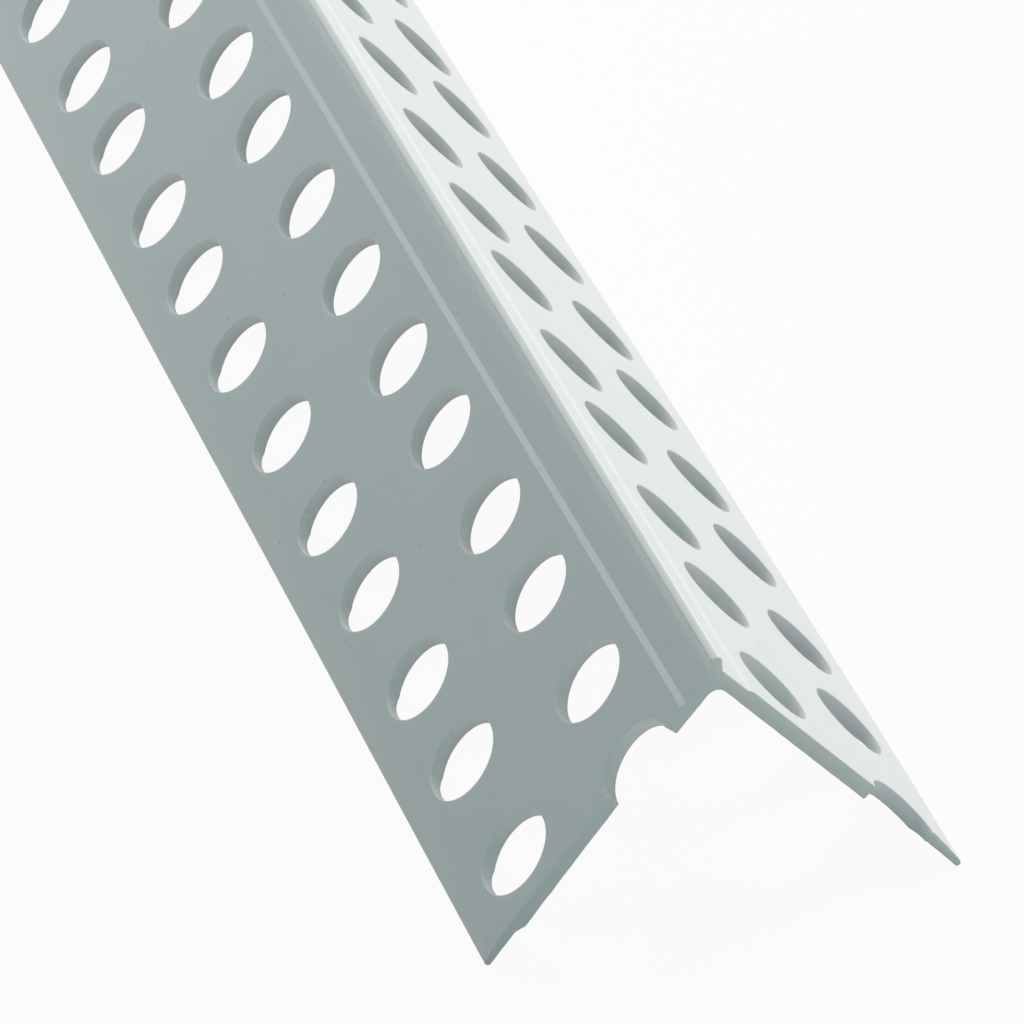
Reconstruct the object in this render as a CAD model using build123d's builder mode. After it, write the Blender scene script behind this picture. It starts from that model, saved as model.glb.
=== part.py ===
from build123d import *
from math import cos, radians, sin
import os

os.makedirs("parts", exist_ok=True)

# An edge trim for a plastered or rendered outside corner, extruded from rigid white PVC and then punched.
# It lies as it would on a floor: nose up and both free edges down, with its length along Y.
# The origin is the middle of the length, on the floor, straight under the nose.

# The length it is sold in, and the V of its section.
length = 2500.0
leg_width = 25.0
included_angle = 82.5
wall = 1.1
inner_round = 0.9

# The nose is a rib that the plaster is drawn off against, with a thinner band of leg on each side of it.
nose_width = 0.85
nose_top = 0.35
nose_round = 0.38
band_recess = 0.15
band_end = 3.3
facet_length = 0.45

# Each leg thins towards its free edge: its inner face under the outer holes, its outer face near the edge.
inner_thin_from = 17.5
inner_thin_to = 22.2
thin_wall = 0.74
outer_thin_from = 22.4
edge_wall = 0.45
edge_drop = 0.25
edge_round = 0.18

# The punched holes: two staggered rows in each leg, so that the plaster keys through them.
hole_radius = 3.0
inner_row = 8.4
outer_row = 19.1
long_pitch = 11.25
short_pitch = 9.95

# The press punches ten holes a row at a stroke, and the strip moves on a little further between strokes.
stroke_holes = 10
stroke_gap = 1.25

# Each row's first hole, from the near cut end. The saw went through two of them.
left_outer_first = 4.1
left_inner_first = -0.05
right_inner_first = 5.2
right_outer_first = -0.55

# Derived sizes. The rounded free edges touch the floor, a little inside their sharp corners.
half_angle = radians(included_angle / 2)
tip_round = min(edge_round, 0.4 * edge_wall)
tip_lift = tip_round * (cos(half_angle) + sin(half_angle) - 1)
apex_height = leg_width * cos(half_angle) + (edge_drop + edge_wall) * sin(half_angle) - tip_lift
pitch_pair = long_pitch + short_pitch


def at(s, depth):
    """The section's point that lies s down the right leg from the sharp apex and depth under its face."""
    x = s * sin(half_angle) - depth * cos(half_angle)
    z = -s * cos(half_angle) - depth * sin(half_angle)
    return (x, apex_height + z)


def mirrored(points):
    return [(-x, z) for x, z in reversed(points)]


def row_of_holes(first, pitch_after_first, holes_before_gap):
    """The distance of each hole's centre from the near end, along one row."""
    found = []
    count = 0
    y = first
    while y < length + hole_radius:
        found.append(y)
        count = count + 1
        strokes = (count + stroke_holes - holes_before_gap) // stroke_holes
        y = first + (count // 2) * pitch_pair + (count % 2) * pitch_after_first + strokes * stroke_gap
    return found


# Where the rib's side meets the band beside it, and where the two inner faces would meet.
rib_foot = (nose_width / 2 + band_recess * cos(half_angle)) / sin(half_angle)
inner_apex = (0, apex_height - wall / sin(half_angle))
right_half = [
    (nose_width / 2, apex_height + nose_top),
    at(rib_foot, band_recess),
    at(band_end, band_recess),
    at(band_end + facet_length, 0),
    at(outer_thin_from, 0),
    at(leg_width, edge_drop),
    at(leg_width, edge_drop + edge_wall),
    at(inner_thin_to, thin_wall),
    at(inner_thin_from, wall),
]

# Each leg has its side of the nose and its two rows: distance down the leg, then places along it.
left_rows = (
    (outer_row, row_of_holes(left_outer_first, long_pitch, 6)),
    (inner_row, row_of_holes(left_inner_first, short_pitch, 7)),
)
right_rows = (
    (inner_row, row_of_holes(right_inner_first, long_pitch, 8)),
    (outer_row, row_of_holes(right_outer_first, long_pitch, 8)),
)

with BuildPart() as corner_bead:
    # The section, extruded both ways from the middle of the length.
    with BuildSketch(Plane.XZ) as section:
        with BuildLine():
            Polyline(*right_half, inner_apex, *mirrored(right_half), close=True)
        make_face()
        nose_corners = section.vertices().group_by(Axis.Y)[-1]
        fillet(nose_corners, min(nose_round, 0.45 * nose_width))
        fillet(section.vertices().sort_by_distance(inner_apex)[0], inner_round)
        for side in (-1, 1):
            for depth in (edge_drop, edge_drop + edge_wall):
                x, z = at(leg_width, depth)
                fillet(section.vertices().sort_by_distance((side * x, z))[0], tip_round)
    extrude(amount=length / 2, both=True)

    # The holes, punched square to each leg. A sketch's Y runs up the right leg and down the left one.
    for side, rows in ((-1, left_rows), (1, right_rows)):
        leg_face = Plane(
            origin=(0, 0, apex_height),
            x_dir=(0, 1, 0),
            z_dir=(side * cos(half_angle), 0, sin(half_angle)),
        )
        centres = [(y - length / 2, -side * s) for s, row in rows for y in row]
        with BuildSketch(leg_face.offset(-2 * wall)):
            with Locations(*centres):
                Circle(hole_radius)
        extrude(amount=3 * wall, mode=Mode.SUBTRACT)

corner_bead.part.label = "corner_bead"
export_step(corner_bead.part, "parts/corner_bead.step")
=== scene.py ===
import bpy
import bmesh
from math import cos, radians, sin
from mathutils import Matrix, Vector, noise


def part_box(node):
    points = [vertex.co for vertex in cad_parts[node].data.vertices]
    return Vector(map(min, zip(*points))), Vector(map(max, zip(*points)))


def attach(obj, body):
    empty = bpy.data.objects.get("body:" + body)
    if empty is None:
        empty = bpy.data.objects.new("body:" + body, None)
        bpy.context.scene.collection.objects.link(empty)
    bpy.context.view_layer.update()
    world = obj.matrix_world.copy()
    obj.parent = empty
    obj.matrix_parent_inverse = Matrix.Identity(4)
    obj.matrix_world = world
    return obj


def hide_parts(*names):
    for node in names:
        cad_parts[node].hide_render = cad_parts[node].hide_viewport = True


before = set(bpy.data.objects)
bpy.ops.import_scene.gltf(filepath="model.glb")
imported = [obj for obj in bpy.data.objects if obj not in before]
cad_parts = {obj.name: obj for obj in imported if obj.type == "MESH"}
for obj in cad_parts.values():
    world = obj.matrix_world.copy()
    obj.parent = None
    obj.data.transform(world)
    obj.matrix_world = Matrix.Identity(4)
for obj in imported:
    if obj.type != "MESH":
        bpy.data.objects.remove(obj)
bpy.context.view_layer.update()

# %% [markdown]
# # A perforated corner bead, as a lesson
# The object is one strip of white PVC for the outside corner of a plastered wall. It is extruded
# through a die, so its section is the same all the way along, and then a press punches two rows of
# round holes in each of its two legs. The frame already holds the plain solid at its real size. This
# lesson models the same strip again with finer edges and a real surface, and lights it as the
# photograph is lit.

mm = 0.001
low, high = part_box("corner_bead")
length = high[1] - low[1]
near_end = low[1]
print("the strip is", round(length, 3), "m long and", round(high[2] - low[2], 4), "m high")

# %% [markdown]
# ## The sizes of the section
# The section is a V that stands on its two free edges, with a rib as its nose. Every place on a leg is
# given in two numbers: how far down the leg it is from the sharp apex, and how deep it is under the
# leg's outer face. One small function turns those two into a point, so the sizes below read as a ruler
# would read them.

# %% The section's sizes, in metres
half_angle = radians(82.5 / 2)
leg_width = 25.0 * mm
wall = 1.1 * mm
nose_width = 0.85 * mm
nose_top = 0.35 * mm
band_recess = 0.15 * mm
band_end = 3.3 * mm
facet_length = 0.45 * mm
edge_wall = 0.45 * mm
edge_drop = 0.25 * mm
tip_round = 0.18 * mm
outer_thin_from = 22.4 * mm
inner_thin_from = 21.5 * mm
inner_thin_to = 22.2 * mm
thin_wall = 0.74 * mm
inner_round = 0.95 * mm
bend_round = 0.25 * mm
nose_rounds = ((-1, 0.40 * mm), (1, 0.26 * mm))
tip_lift = tip_round * (cos(half_angle) + sin(half_angle) - 1)
apex = leg_width * cos(half_angle) + (edge_drop + edge_wall) * sin(half_angle) - tip_lift


def on_leg(side, down, depth, y=0.0):
    """The point that lies down the leg from the apex and depth under its face. side is -1 left, 1 right."""
    x = down * sin(half_angle) - depth * cos(half_angle)
    z = -down * cos(half_angle) - depth * sin(half_angle)
    return Vector((side * x, y, apex + z))


def leg_place(point):
    """The same numbers back from a point: its side, how far down the leg and how deep it is."""
    side = 1 if point.x > 0 else -1
    x, z = abs(point.x), point.z - apex
    return side, x * sin(half_angle) - z * cos(half_angle), -x * cos(half_angle) - z * sin(half_angle)


def leg_out(side):
    """The direction that a leg's outer face looks in."""
    return Vector((side * cos(half_angle), 0, sin(half_angle)))


print("the apex is", round(apex * 1000, 2), "mm above the floor")

# %% [markdown]
# ## The extruded strip
# A die gives a long part its shape in one go, and extruding a face is the same idea in Blender. One
# face is drawn at the near end with the corners of the section, its corners are rounded by bevelling
# its vertices, and the whole face is extruded to the far end. Bevelling the flat face first costs
# nothing, while bevelling the long edges afterwards would also round the sawn ends, which are sharp on
# the real strip.

# %% Draw the section and round its corners
rib_foot = (nose_width / 2 + band_recess * cos(half_angle)) / sin(half_angle)
leg_corners = [
    (rib_foot, band_recess),
    (band_end, band_recess),
    (band_end + facet_length, 0.0),
    (outer_thin_from, 0.0),
    (leg_width, edge_drop),
    (leg_width, edge_drop + edge_wall),
    (inner_thin_to, thin_wall),
    (inner_thin_from, wall),
]


def round_corner(bm, place, radius, segments):
    """Bevels the one vertex of a flat face that is nearest to a place."""
    corner = min(bm.verts, key=lambda v: (v.co - place).length)
    bmesh.ops.bevel(bm, geom=[corner], offset=radius, segments=segments, profile=0.5,
                    affect="VERTICES", material=-1)


def draw_section():
    bm = bmesh.new()
    near = Vector((0, near_end, 0))
    right = [Vector((nose_width / 2, 0, apex + nose_top))] + [on_leg(1, s, d) for s, d in leg_corners]
    inner_apex = Vector((0, 0, apex - wall / sin(half_angle)))
    left = [Vector((-p.x, 0, p.z)) for p in reversed(right)]
    corners = [bm.verts.new(p + near) for p in right + [inner_apex] + left]
    outline = [bm.edges.new(pair) for pair in zip(corners, corners[1:] + corners[:1])]
    bmesh.ops.contextual_create(bm, geom=outline)
    round_corner(bm, inner_apex + near, inner_round, 8)
    for side, radius in nose_rounds:
        round_corner(bm, Vector((side * nose_width / 2, near_end, apex + nose_top)), radius, 8)
        round_corner(bm, on_leg(side, outer_thin_from, 0.0) + near, bend_round, 2)
        for depth in (edge_drop, edge_drop + edge_wall):
            round_corner(bm, on_leg(side, leg_width, depth) + near, tip_round, 6)
    return bm


strip = draw_section()
print("the section has", len(strip.verts), "corners")

# %% [markdown]
# Extruding leaves the near face where it was drawn and carries its copy to the far end, with one long
# face for each edge of the section. The order of the corners doesn't promise which way the faces look,
# so the normals are all turned outward at the end.

# %% Extrude it to its full length
def extrude_strip(bm):
    made = bmesh.ops.extrude_face_region(bm, geom=bm.faces[:])
    moved = [v for v in made["geom"] if isinstance(v, bmesh.types.BMVert)]
    bmesh.ops.translate(bm, verts=moved, vec=(0, length, 0))
    bmesh.ops.recalc_face_normals(bm, faces=bm.faces[:])


extrude_strip(strip)
print("the plain strip has", len(strip.faces), "faces")

# %% [markdown]
# ## Cutting across
# A face with hundreds of holes in it is slow to punch, so the far part of the strip is first cut across
# every 50 mm. The near part, where the photograph looks, stays whole, because a cut that passes close
# by a corner of a hole would leave an edge too short to bevel.

# %% Cut the far part across
fine_length = 150.0 * mm
far_spacing = 50.0 * mm
far_cuts = 47


def cut_across(bm, places):
    """Cuts the strip across at each place, without opening it."""
    for y in places:
        bmesh.ops.bisect_plane(bm, geom=bm.verts[:] + bm.edges[:] + bm.faces[:], dist=0.01 * mm,
                               plane_co=(0, y, 0), plane_no=(0, 1, 0))


cut_across(strip, [near_end + fine_length + k * far_spacing for k in range(far_cuts)])
print("after the far cuts it has", len(strip.faces), "faces")

# %% [markdown]
# ## The punched holes
# The press punches each leg with round pins, and a Boolean modifier does the same: it takes a mesh of
# cylinders out of the strip. The pins carry a second material, so every wall they leave is marked by
# it, and the rims can be found afterwards without any measuring. Pins near the photographed end have 48
# sides, and the far ones half as many, which keeps the whole strip light.

# %% Where the holes are
hole_radius = 3.0 * mm
inner_row = 8.4 * mm
outer_row = 19.1 * mm
long_pitch = 11.25 * mm
short_pitch = 9.95 * mm
stroke_gap = 1.25 * mm
stroke_holes = 10
pin_length = 3.0 * mm
rows = [
    (-1, outer_row, 4.1 * mm, long_pitch, 6),
    (-1, inner_row, -0.05 * mm, short_pitch, 7),
    (1, inner_row, 5.2 * mm, long_pitch, 8),
    (1, outer_row, -0.55 * mm, long_pitch, 8),
]


def places_along(first, pitch_after_first, before_gap):
    """The holes of one row, by their distance from the near end. Ten are punched at each stroke."""
    found, count, y = [], 0, first
    while y < length + hole_radius:
        found.append(y)
        count += 1
        strokes = (count + stroke_holes - before_gap) // stroke_holes
        y = first + (count // 2) * (long_pitch + short_pitch) + (count % 2) * pitch_after_first
        y += strokes * stroke_gap
    return found


holes = [(side, down, near_end + y) for side, down, first, pitch, before in rows
         for y in places_along(first, pitch, before)]
print("holes to punch:", len(holes))

# %% [markdown]
# A pin is a cylinder that stands square to its leg. Blender makes a cylinder along Z, so each one is
# turned until its Z is the leg's outward direction, and is put with its middle in the middle of the
# wall. It is much longer than the wall is thick, so its two ends never touch the plastic.

# %% Make the pins
def add_pin(bm, side, down, y, segments):
    """Adds one cylinder that stands square to a leg, through the middle of its wall."""
    along, out = Vector((0, 1, 0)), leg_out(side)
    turn = Matrix((along.cross(out), along, out)).transposed().to_4x4()
    place = Matrix.Translation(on_leg(side, down, wall / 2, y)) @ turn
    made = bmesh.ops.create_cone(bm, cap_ends=True, segments=segments, radius1=hole_radius,
                                 radius2=hole_radius, depth=pin_length, matrix=place)
    for vert in made["verts"]:
        for face in vert.link_faces:
            face.material_index = 1


def mesh_object(name, bm, materials):
    mesh = bpy.data.meshes.new(name)
    bm.to_mesh(mesh)
    bm.free()
    for material in materials:
        mesh.materials.append(material)
    made = bpy.data.objects.new(name, mesh)
    bpy.context.scene.collection.objects.link(made)
    return made


marks = [bpy.data.materials.new("leg_mark"), bpy.data.materials.new("wall_mark")]


def make_pins(name, chosen, segments):
    bm = bmesh.new()
    for side, down, y in chosen:
        add_pin(bm, side, down, y, segments)
    return mesh_object(name, bm, marks)


near_holes = [h for h in holes if h[2] < near_end + fine_length]
far_holes = [h for h in holes if h[2] >= near_end + fine_length]
pins = [make_pins("near_pins", near_holes, 48), make_pins("far_pins", far_holes, 24)]
print(len(near_holes), "fine pins and", len(far_holes), "plain ones")

# %% [markdown]
# Each set of pins is taken out in one go by its own modifier. The exact solver is slower than the fast
# one, but it doesn't stumble where a pin passes straight through a sawn end, as two of them do. The
# result is kept as a plain mesh, and the pins are thrown away.

# %% Punch the strip
def punch(body, tools):
    for tool in tools:
        press = body.modifiers.new(tool.name, "BOOLEAN")
        press.operation = "DIFFERENCE"
        press.object = tool
        press.solver = "EXACT"
    bpy.context.view_layer.update()
    seen = body.evaluated_get(bpy.context.evaluated_depsgraph_get())
    result = bpy.data.meshes.new_from_object(seen)
    for used in tools + [body]:
        bpy.data.objects.remove(used)
    return result


punched = punch(mesh_object("blank", strip, marks), pins)
print("the punched strip has", len(punched.vertices), "corners and", len(punched.polygons), "faces")

# %% [markdown]
# ## The rims
# A pin rolls the rim over as it enters, so no rim is razor sharp, and in the photograph each one
# catches a thin line of light. A rim is any edge between a leg's face and a wall that a pin left, so it
# is found by its two materials, and a bevel rounds it. A Boolean can leave very short edges, which
# spoil a bevel, so corners closer than a twentieth of a millimetre are merged first. Far from the
# camera only the outer rims are rounded. The walls and rims are also marked in a face attribute, for
# the material to read later.

# %% Round the rims
def round_rims(bm, width, segments, wanted):
    rims = [e for e in bm.edges if len(e.link_faces) == 2
            and e.link_faces[0].material_index != e.link_faces[1].material_index
            and max(abs(f.normal.y) for f in e.link_faces) < 0.999
            and wanted((e.verts[0].co + e.verts[1].co) / 2)]
    made = bmesh.ops.bevel(bm, geom=rims, offset=width, segments=segments, profile=0.5,
                           affect="EDGES", material=-1, clamp_overlap=False)
    return made["faces"]


merge_distance = 0.05 * mm
outer_depth = 0.3 * mm


def is_near(point):
    return point.y < near_end + fine_length


def is_outer(point):
    return leg_place(point)[2] < outer_depth


body = bmesh.new()
body.from_mesh(punched)
before = len(body.verts)
bmesh.ops.remove_doubles(body, verts=body.verts[:], dist=merge_distance)
print("merged", before - len(body.verts), "corners")
punched_mark = body.faces.layers.float.new("punched")
near_outer = round_rims(body, 0.07 * mm, 2, lambda p: is_near(p) and is_outer(p))
near_inner = round_rims(body, 0.05 * mm, 1, lambda p: is_near(p) and not is_outer(p))
far_outer = round_rims(body, 0.08 * mm, 1, lambda p: is_outer(p) and not is_near(p))
for face in near_outer + near_inner + far_outer + [f for f in body.faces if f.material_index == 1]:
    if face.is_valid:
        face[punched_mark] = 1.0
print("rim faces:", len(near_outer) + len(near_inner), "near and", len(far_outer), "far")

# %% [markdown]
# Where two rims meet on a very short edge, a bevel can leave a sliver without width or a gap of a few
# corners. The real strip is one closed body, so slivers are dissolved and each small gap is filled by
# one face. The count before and after shows whether the body is closed.

# %% Close what the bevel left open
bmesh.ops.dissolve_degenerate(body, edges=body.edges[:], dist=0.001 * mm)
gaps = [e for e in body.edges if len(e.link_faces) < 2]
bmesh.ops.holes_fill(body, edges=gaps, sides=8)
print("open edges:", len(gaps), "before and", sum(len(e.link_faces) < 2 for e in body.edges), "after")

# %% [markdown]
# ## The cut end
# The strip was cut with shears or a fine saw, and the cut is not quite square: the tips of both legs
# stand out a little, and the edges of the cut are slightly ragged. The edges round each end are first
# divided, so that there are corners to move, and each corner is then moved along the strip by a smooth
# amount and by a little noise.

# %% Make the ends ragged
sawn_mark = body.faces.layers.float.new("sawn")


def stands_out(side, down):
    """How far the cut stands out at a place on a leg. Both tips were left a little long."""
    start, most, power = (11.0 * mm, 0.75 * mm, 1.2) if side < 0 else (20.0 * mm, 0.7 * mm, 2.0)
    share = max(0.0, (down - start) / (leg_width - start))
    return most * share ** power


def roughen_end(bm, y, shape):
    for face in bm.faces:
        if abs(face.normal.y) > 0.999 and abs(face.calc_center_median().y - y) < 0.01 * mm:
            face[sawn_mark] = 1.0
    around = [e for e in bm.edges if all(abs(v.co.y - y) < 0.01 * mm for v in e.verts)]
    long_ones = [e for e in around if e.calc_length() > 0.6 * mm]
    for edge in long_ones:
        bmesh.ops.bisect_edges(bm, edges=[edge], cuts=int(edge.calc_length() / (0.35 * mm)))
    moved = [v for v in bm.verts if abs(v.co.y - y) < 0.01 * mm]
    for vert in moved:
        side, down, depth = leg_place(vert.co)
        grain = noise.noise(vert.co * 900.0) + 0.5 * noise.noise(vert.co * 2600.0)
        vert.co.y -= shape * (stands_out(side, down) + 0.035 * mm * grain)
        vert.co += leg_out(side) * (0.02 * mm * noise.noise(vert.co * 1500.0 + Vector((7, 3, 1))))
    return len(moved)


print("corners on the near end:", roughen_end(body, near_end, 1.0))
print("corners on the far end:", roughen_end(body, near_end + length, -0.3))

# %% [markdown]
# ## Soft and hard edges
# Smooth shading makes the many sides of a hole's wall read as one round wall, but it must stop where
# the real strip has a corner. An edge is hard where its two faces turn by more than 17 degrees, which
# leaves the rounded corners soft. A leg's own flat faces are kept apart from anything that turns at
# all, or their shading would bleed across the leg. The near part gets its cuts across just before,
# while all is straight.

# %% Mark the hard edges
near_spacing = 6.0 * mm
cut_across(body, [near_end + k * near_spacing for k in range(1, 25)])


def is_flat_leg(face):
    facing = abs(face.normal.x) * cos(half_angle) + abs(face.normal.z) * sin(half_angle)
    return facing > 0.99999 and abs(face.normal.y) < 0.001


def mark_edges(bm):
    bm.normal_update()
    hard = 0
    for face in bm.faces:
        face.smooth = True
    for edge in bm.edges:
        if len(edge.link_faces) == 2:
            turn = edge.calc_face_angle(0.0)
            rim = all(f[punched_mark] > 0.5 for f in edge.link_faces)
            flat = any(is_flat_leg(f) for f in edge.link_faces)
            edge.smooth = turn < radians(50 if rim else 1.5 if flat else 17)
            hard += not edge.smooth
    return hard


print("hard edges:", mark_edges(body), "of", len(body.edges))

# %% [markdown]
# ## The warp of the legs
# A thin PVC leg is never quite flat: it cools unevenly and waves a little along its free edge. Each
# corner is pushed out of its leg's plane by a slow wave that grows towards the free edge. The sizes of
# the waves come from the outline in the photograph, where the free edges run up to 0.4 mm off straight.

# %% Bend the legs a little
def wave(y, side):
    """How far a free edge stands out of its leg's plane, in metres, at a distance y along the strip."""
    t = (y - near_end) / mm
    if side > 0:
        return (0.045 + 0.13 * cos((t - 36.0) / 20.7) + 0.02 * sin(t / 7.3)) * mm
    return (0.17 + 0.17 * sin(t / 38.0 - 1.1) + 0.035 * sin(t / 10.2 + 0.14)) * mm


def bend_legs(bm):
    most = 0.0
    for vert in bm.verts:
        side, down, depth = leg_place(vert.co)
        push = max(0.0, down / leg_width) ** 2 * wave(vert.co.y, side)
        vert.co += leg_out(side) * push
        most = max(most, abs(push))
    return most


print("bent by at most", round(bend_legs(body) / mm, 2), "mm")

# %% [markdown]
# ## Extrusion streaks
# Fresh PVC comes out of the die with very fine lines along its length, where the metal was not
# perfectly smooth. They are far too fine to model, so a node group makes them: a noise texture that is
# stretched a hundred times along the strip. It puts out a height for the bump and a tint for the
# colour. The pattern is taken across each leg from its X, stretched so that a millimetre is a
# millimetre down the sloping leg.

# %% [markdown]
# A node tree takes many lines when it is written out in full, so four small functions do the repeated
# work: one adds a node and sets its values, one joins two sockets, one starts a group with named
# sockets, and one gives the coordinates that all the textures of the legs share.

# %% A helper for nodes
def add_node(tree, kind, values=None, **settings):
    node = tree.nodes.new(kind)
    for name, value in settings.items():
        setattr(node, name, value)
    for socket, value in (values or {}).items():
        node.inputs[socket].default_value = value
    return node


def join(tree, source, target):
    tree.links.new(source, target)


def new_group(name, inputs, outputs):
    """A shader node group with named sockets, and its two end nodes."""
    tree = bpy.data.node_groups.new(name, "ShaderNodeTree")
    for label, value in inputs:
        socket = tree.interface.new_socket(label, in_out="INPUT", socket_type="NodeSocketFloat")
        socket.default_value = value
    for label in outputs:
        tree.interface.new_socket(label, in_out="OUTPUT", socket_type="NodeSocketFloat")
    return tree, tree.nodes.new("NodeGroupInput"), tree.nodes.new("NodeGroupOutput")


def leg_coordinates(tree, along):
    """Object coordinates laid flat on the sloping legs, and stretched along the strip."""
    where = add_node(tree, "ShaderNodeTexCoord")
    flat = add_node(tree, "ShaderNodeMapping", {"Scale": (1 / sin(half_angle), along, 0.0)})
    join(tree, where.outputs["Object"], flat.inputs["Vector"])
    return flat.outputs["Vector"]


def make_streaks():
    sizes = [("Fine", 2600.0), ("Broad", 420.0)]
    tree, given, out = new_group("extrusion_streaks", sizes, ["Height", "Tint"])
    place = leg_coordinates(tree, 0.01)
    fine = add_node(tree, "ShaderNodeTexNoise", {"Detail": 3.0, "Roughness": 0.6}, noise_dimensions="2D")
    broad = add_node(tree, "ShaderNodeTexNoise", {"Detail": 1.0}, noise_dimensions="2D")
    for texture, size, end in ((fine, "Fine", "Height"), (broad, "Broad", "Tint")):
        join(tree, place, texture.inputs["Vector"])
        join(tree, given.outputs[size], texture.inputs["Scale"])
        join(tree, texture.outputs[0], out.inputs[end])
    return tree


streaks = make_streaks()
print("group", streaks.name, "has", len(streaks.nodes), "nodes")

# %% [markdown]
# ## Dust and specks
# The photograph shows a scatter of tiny dark and pale specks, each a tenth of a millimetre or so
# across. A Voronoi texture gives one point to each cell of a grid. A speck is the small disc round that
# point, and its radius changes from cell to cell, so most cells show nothing. Two of these groups with
# other values give the dark specks and the pale ones.

# %% Make the speck group
def make_specks():
    sizes = [("Scale", 200.0), ("Radius", 0.02), ("Share", 0.5)]
    tree, given, out = new_group("specks", sizes, ["Mask"])
    place = leg_coordinates(tree, 1.0)
    cells = add_node(tree, "ShaderNodeTexVoronoi", voronoi_dimensions="2D")
    join(tree, place, cells.inputs["Vector"])
    join(tree, given.outputs["Scale"], cells.inputs["Scale"])
    chance = add_node(tree, "ShaderNodeSeparateColor")
    join(tree, cells.outputs["Color"], chance.inputs[0])
    kept = add_node(tree, "ShaderNodeMath", operation="LESS_THAN")
    join(tree, chance.outputs[0], kept.inputs[0])
    join(tree, given.outputs["Share"], kept.inputs[1])
    reach = add_node(tree, "ShaderNodeMath", operation="MULTIPLY")
    join(tree, chance.outputs[1], reach.inputs[0])
    join(tree, given.outputs["Radius"], reach.inputs[1])
    inside = add_node(tree, "ShaderNodeMath", operation="DIVIDE")
    join(tree, cells.outputs["Distance"], inside.inputs[0])
    join(tree, reach.outputs[0], inside.inputs[1])
    soft = add_node(tree, "ShaderNodeMapRange", {1: 1.0, 2: 0.4, 3: 0.0, 4: 1.0})
    join(tree, inside.outputs[0], soft.inputs[0])
    mask = add_node(tree, "ShaderNodeMath", operation="MULTIPLY")
    join(tree, soft.outputs[0], mask.inputs[0])
    join(tree, kept.outputs[0], mask.inputs[1])
    join(tree, mask.outputs[0], out.inputs["Mask"])
    return tree


specks = make_specks()
print("group", specks.name, "has", len(specks.nodes), "nodes")

# %% [markdown]
# ## The white PVC
# Rigid PVC is a smooth plastic, satin rather than glossy. Its colour is a cool white with the faintest
# green in it. It lets a little light through, a millimetre or so deep, which softens its thin edges and
# brightens the walls of its holes. The Principled shader stays in the material, and everything that
# changes over the surface feeds its colour, its roughness or its bump. The sawn ends and the punched
# walls are torn plastic, so there the attributes that were marked on the mesh switch on a coarser bump
# and a rougher finish. The punched walls and rims are also given a paler colour, which is painted
# light: it brightens them as the light reaching into the holes would.

# %% Make the PVC
def scaled(tree, source, factor):
    node = add_node(tree, "ShaderNodeMath", operation="MULTIPLY")
    join(tree, source, node.inputs[0])
    if isinstance(factor, float):
        node.inputs[1].default_value = factor
    else:
        join(tree, factor, node.inputs[1])
    return node.outputs[0]


def summed(tree, first, second):
    node = add_node(tree, "ShaderNodeMath", operation="ADD")
    join(tree, first, node.inputs[0])
    join(tree, second, node.inputs[1])
    return node.outputs[0]


def mixed_color(tree, factor, first, second):
    """A colour mix. first is a colour or a socket, second is a colour."""
    node = add_node(tree, "ShaderNodeMix", data_type="RGBA")
    join(tree, factor, node.inputs[0])
    if isinstance(first, tuple):
        node.inputs[6].default_value = first
    else:
        join(tree, first, node.inputs[6])
    node.inputs[7].default_value = second
    return node.outputs[2]


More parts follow.
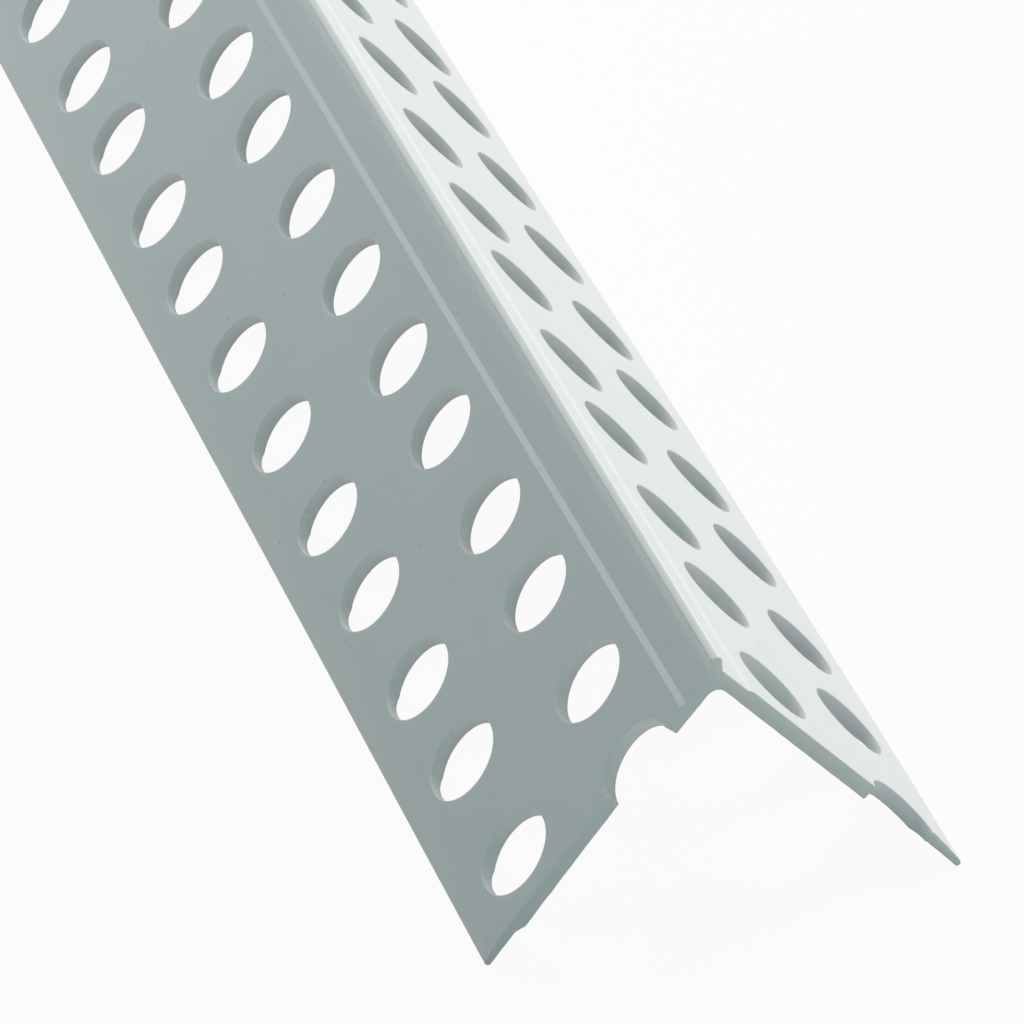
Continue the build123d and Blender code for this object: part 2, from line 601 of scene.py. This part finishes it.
def pvc_finish():
    material = bpy.data.materials.new("white_pvc")
    material.use_nodes = True
    tree = material.node_tree
    shader = tree.nodes["Principled BSDF"]
    shader.inputs["IOR"].default_value = 1.53
    shader.inputs["Subsurface Weight"].default_value = 0.3
    shader.inputs["Subsurface Radius"].default_value = (1.0, 1.0, 1.0)
    shader.inputs["Subsurface Scale"].default_value = 0.0012
    lines = add_node(tree, "ShaderNodeGroup", node_tree=streaks)
    dark_size = {"Scale": 210.0, "Radius": 0.024, "Share": 0.5}
    pale_size = {"Scale": 150.0, "Radius": 0.018, "Share": 0.35}
    dark = add_node(tree, "ShaderNodeGroup", dark_size, node_tree=specks)
    pale = add_node(tree, "ShaderNodeGroup", pale_size, node_tree=specks)
    sawn = add_node(tree, "ShaderNodeAttribute", attribute_name="sawn")
    torn_walls_and_painted_light = add_node(tree, "ShaderNodeAttribute", attribute_name="punched")
    where = add_node(tree, "ShaderNodeTexCoord")
    cloud = add_node(tree, "ShaderNodeTexNoise", {"Scale": 160.0, "Detail": 3.0})
    grain = add_node(tree, "ShaderNodeTexNoise", {"Scale": 2400.0, "Detail": 4.0, "Roughness": 0.65})
    for texture in (cloud, grain):
        join(tree, where.outputs["Object"], texture.inputs["Vector"])
    base = mixed_color(tree, cloud.outputs[0], (0.825, 0.87, 0.855, 1), (0.855, 0.89, 0.875, 1))
    base = mixed_color(tree, scaled(tree, lines.outputs["Tint"], 0.25), base, (0.80, 0.85, 0.84, 1))
    base = mixed_color(tree, scaled(tree, dark.outputs["Mask"], 0.75), base, (0.34, 0.37, 0.36, 1))
    base = mixed_color(tree, scaled(tree, pale.outputs["Mask"], 0.7), base, (0.97, 0.98, 0.98, 1))
    # painted light: the punched walls and rims are coloured paler, standing in for the light in the holes
    base = mixed_color(tree, torn_walls_and_painted_light.outputs["Fac"], base, (0.96, 0.98, 0.975, 1))
    join(tree, base, shader.inputs["Base Color"])
    cut = summed(tree, sawn.outputs["Fac"], torn_walls_and_painted_light.outputs["Fac"])
    rough = add_node(tree, "ShaderNodeMapRange", {1: 0.0, 2: 1.0, 3: 0.4, 4: 0.62})
    join(tree, cut, rough.inputs[0])
    join(tree, rough.outputs[0], shader.inputs["Roughness"])
    height = summed(tree, scaled(tree, lines.outputs["Height"], 0.004),
                    scaled(tree, grain.outputs[0], scaled(tree, cut, 0.05)))
    bump = add_node(tree, "ShaderNodeBump", {"Strength": 1.0, "Distance": 0.001})
    join(tree, height, bump.inputs["Height"])
    join(tree, bump.outputs[0], shader.inputs["Normal"])
    return material


white_pvc = pvc_finish()
print("the PVC has", len(white_pvc.node_tree.nodes), "nodes")

# %% [markdown]
# ## The piece
# The strip is one physical piece, so it becomes one mesh object at the origin. It rides on the frame's
# root part and takes the place of the plain solid in the picture.

# %% Make the piece
def finish_piece(name, bm, material):
    for face in bm.faces:
        face.material_index = 0
    return mesh_object(name, bm, [material])


bead = finish_piece("corner_bead_strip", body, white_pvc)
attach(bead, "root")
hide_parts("corner_bead")
for old in marks:
    bpy.data.materials.remove(old)
lowest = min(v.co.z for v in bead.data.vertices)
print("triangles:", sum(len(p.vertices) - 2 for p in bead.data.polygons))
print("the lowest point is at", round(lowest / mm, 3), "mm")

# %% [markdown]
# ## The floor
# The background is pure white. A floor only looks white when its own colour reaches white in the
# picture, so its material adds a glow that is seen by the camera, and in mirrors and through glass as
# well, but that matt surfaces don't receive. The strip still casts its soft shadow in the share of the
# floor that stays matt. The floor lies just under the lowest point of the slightly wavy edges.

# %% Make the floor
def floor_finish():
    material = bpy.data.materials.new("pale_floor")
    material.use_nodes = True
    tree = material.node_tree
    tree.nodes.clear()
    out = add_node(tree, "ShaderNodeOutputMaterial")
    matt = add_node(tree, "ShaderNodeBsdfDiffuse", {"Color": (0.8, 0.8, 0.8, 1)})
    glow = add_node(tree, "ShaderNodeEmission", {"Strength": 1.0})
    blend = add_node(tree, "ShaderNodeMixShader")
    rays = add_node(tree, "ShaderNodeLightPath")
    seen = rays.outputs["Is Camera Ray"]
    for label in ("Is Glossy Ray", "Is Transmission Ray"):
        either = add_node(tree, "ShaderNodeMath", operation="MAXIMUM")
        join(tree, seen, either.inputs[0])
        join(tree, rays.outputs[label], either.inputs[1])
        seen = either.outputs[0]
    join(tree, scaled(tree, seen, 0.94), blend.inputs[0])
    join(tree, matt.outputs[0], blend.inputs[1])
    join(tree, glow.outputs[0], blend.inputs[2])
    join(tree, blend.outputs[0], out.inputs["Surface"])
    return material


floor_reach = 20.0
floor_mesh = bmesh.new()
bmesh.ops.create_grid(floor_mesh, x_segments=1, y_segments=1, size=floor_reach,
                      matrix=Matrix.Translation((0, 0, lowest)))
floor = mesh_object("floor", floor_mesh, [floor_finish()])
print("the floor is at", round(lowest / mm, 3), "mm")

# %% [markdown]
# ## The light
# The right leg is almost white and the left leg is mid grey, so the main light comes low from the right
# and a little from behind, and it is slightly warm. A broad lamp above lifts the faces that look up,
# and a weaker one in front keeps the cut end from going dark. Both are slightly cool, which is why the
# shaded leg looks greener than the lit one. These three stand six metres away, so that no part of the
# strip is left dark, though the main light still falls more strongly on the far end. An even light from
# all round keeps any side from going black. A small lamp stands close to the strip, because the left
# leg grows lighter away from the near end faster than any distant lamp could make it. The strengths
# were worked out by rendering one lamp at a time and then mixing them to match the photograph.

# %% Light the strip
aim = Vector((0, near_end + 0.06, 0.01))
studio = {"distance": 6.0, "width": 3.6}


def set_world(color, strength):
    world = bpy.data.worlds.new("studio")
    world.use_nodes = True
    bpy.context.scene.world = world
    air = world.node_tree.nodes["Background"]
    air.inputs["Color"].default_value = (*color, 1)
    air.inputs["Strength"].default_value = strength


def soft_lamp(name, direction, distance, width, watts, color, further=0.0):
    """A square area lamp that looks from a direction at the near end, or further along the strip."""
    light = bpy.data.lights.new(name, "AREA")
    light.size = width
    light.energy = watts
    light.color = color
    lamp = bpy.data.objects.new(name, light)
    bpy.context.scene.collection.objects.link(lamp)
    lamp.location = aim + Vector(direction).normalized() * distance
    lamp.rotation_euler = (aim - lamp.location).to_track_quat("-Z", "Y").to_euler()
    lamp.location.y += further
    lamp.visible_camera = False


set_world((0.81, 1.0, 1.0), 0.185)
soft_lamp("main_light", (0.7, 0.6, 0.5), watts=289.0, color=(1.0, 0.925, 0.933), **studio)
soft_lamp("top_light", (0.0, 0.2, 1.0), watts=15.8, color=(0.77, 1.0, 0.90), **studio)
soft_lamp("front_light", (0.0, -0.9, 0.45), watts=26.7, color=(0.545, 1.0, 0.946), **studio)
soft_lamp("far_light", (-0.35, 0.6, 0.7), distance=0.35, width=0.15, watts=0.38,
          color=(0.953, 0.97, 1.0), further=80 * mm)

# %% [markdown]
# ## The camera
# The camera stands half a metre from the near end and looks down by about a third of a right angle,
# through a long lens. Its place and its turn were worked out from the holes and edges in the
# photograph, and they are given here as three directions: to the right, down and into the picture.

# %% Place the camera
bpy.context.scene.view_settings.view_transform = "Standard"
lens = bpy.data.cameras.new("camera")
lens.sensor_width = 36.0
lens.lens = 279.85
camera = bpy.data.objects.new("camera", lens)
bpy.context.scene.collection.objects.link(camera)
to_right = Vector((0.95336898, -0.30021759, -0.03093504))
to_down = Vector((-0.18755506, -0.50903687, -0.84006224))
to_far = Vector((0.23645439, 0.80669131, -0.54160729))
turn = Matrix((to_right, -to_down, -to_far)).transposed()
camera.matrix_world = Matrix.Translation((-0.129667, -1.647737, 0.300504)) @ turn.to_4x4()
bpy.context.scene.camera = camera
print("the camera is", round((camera.location - aim).length, 3), "m from the near end")
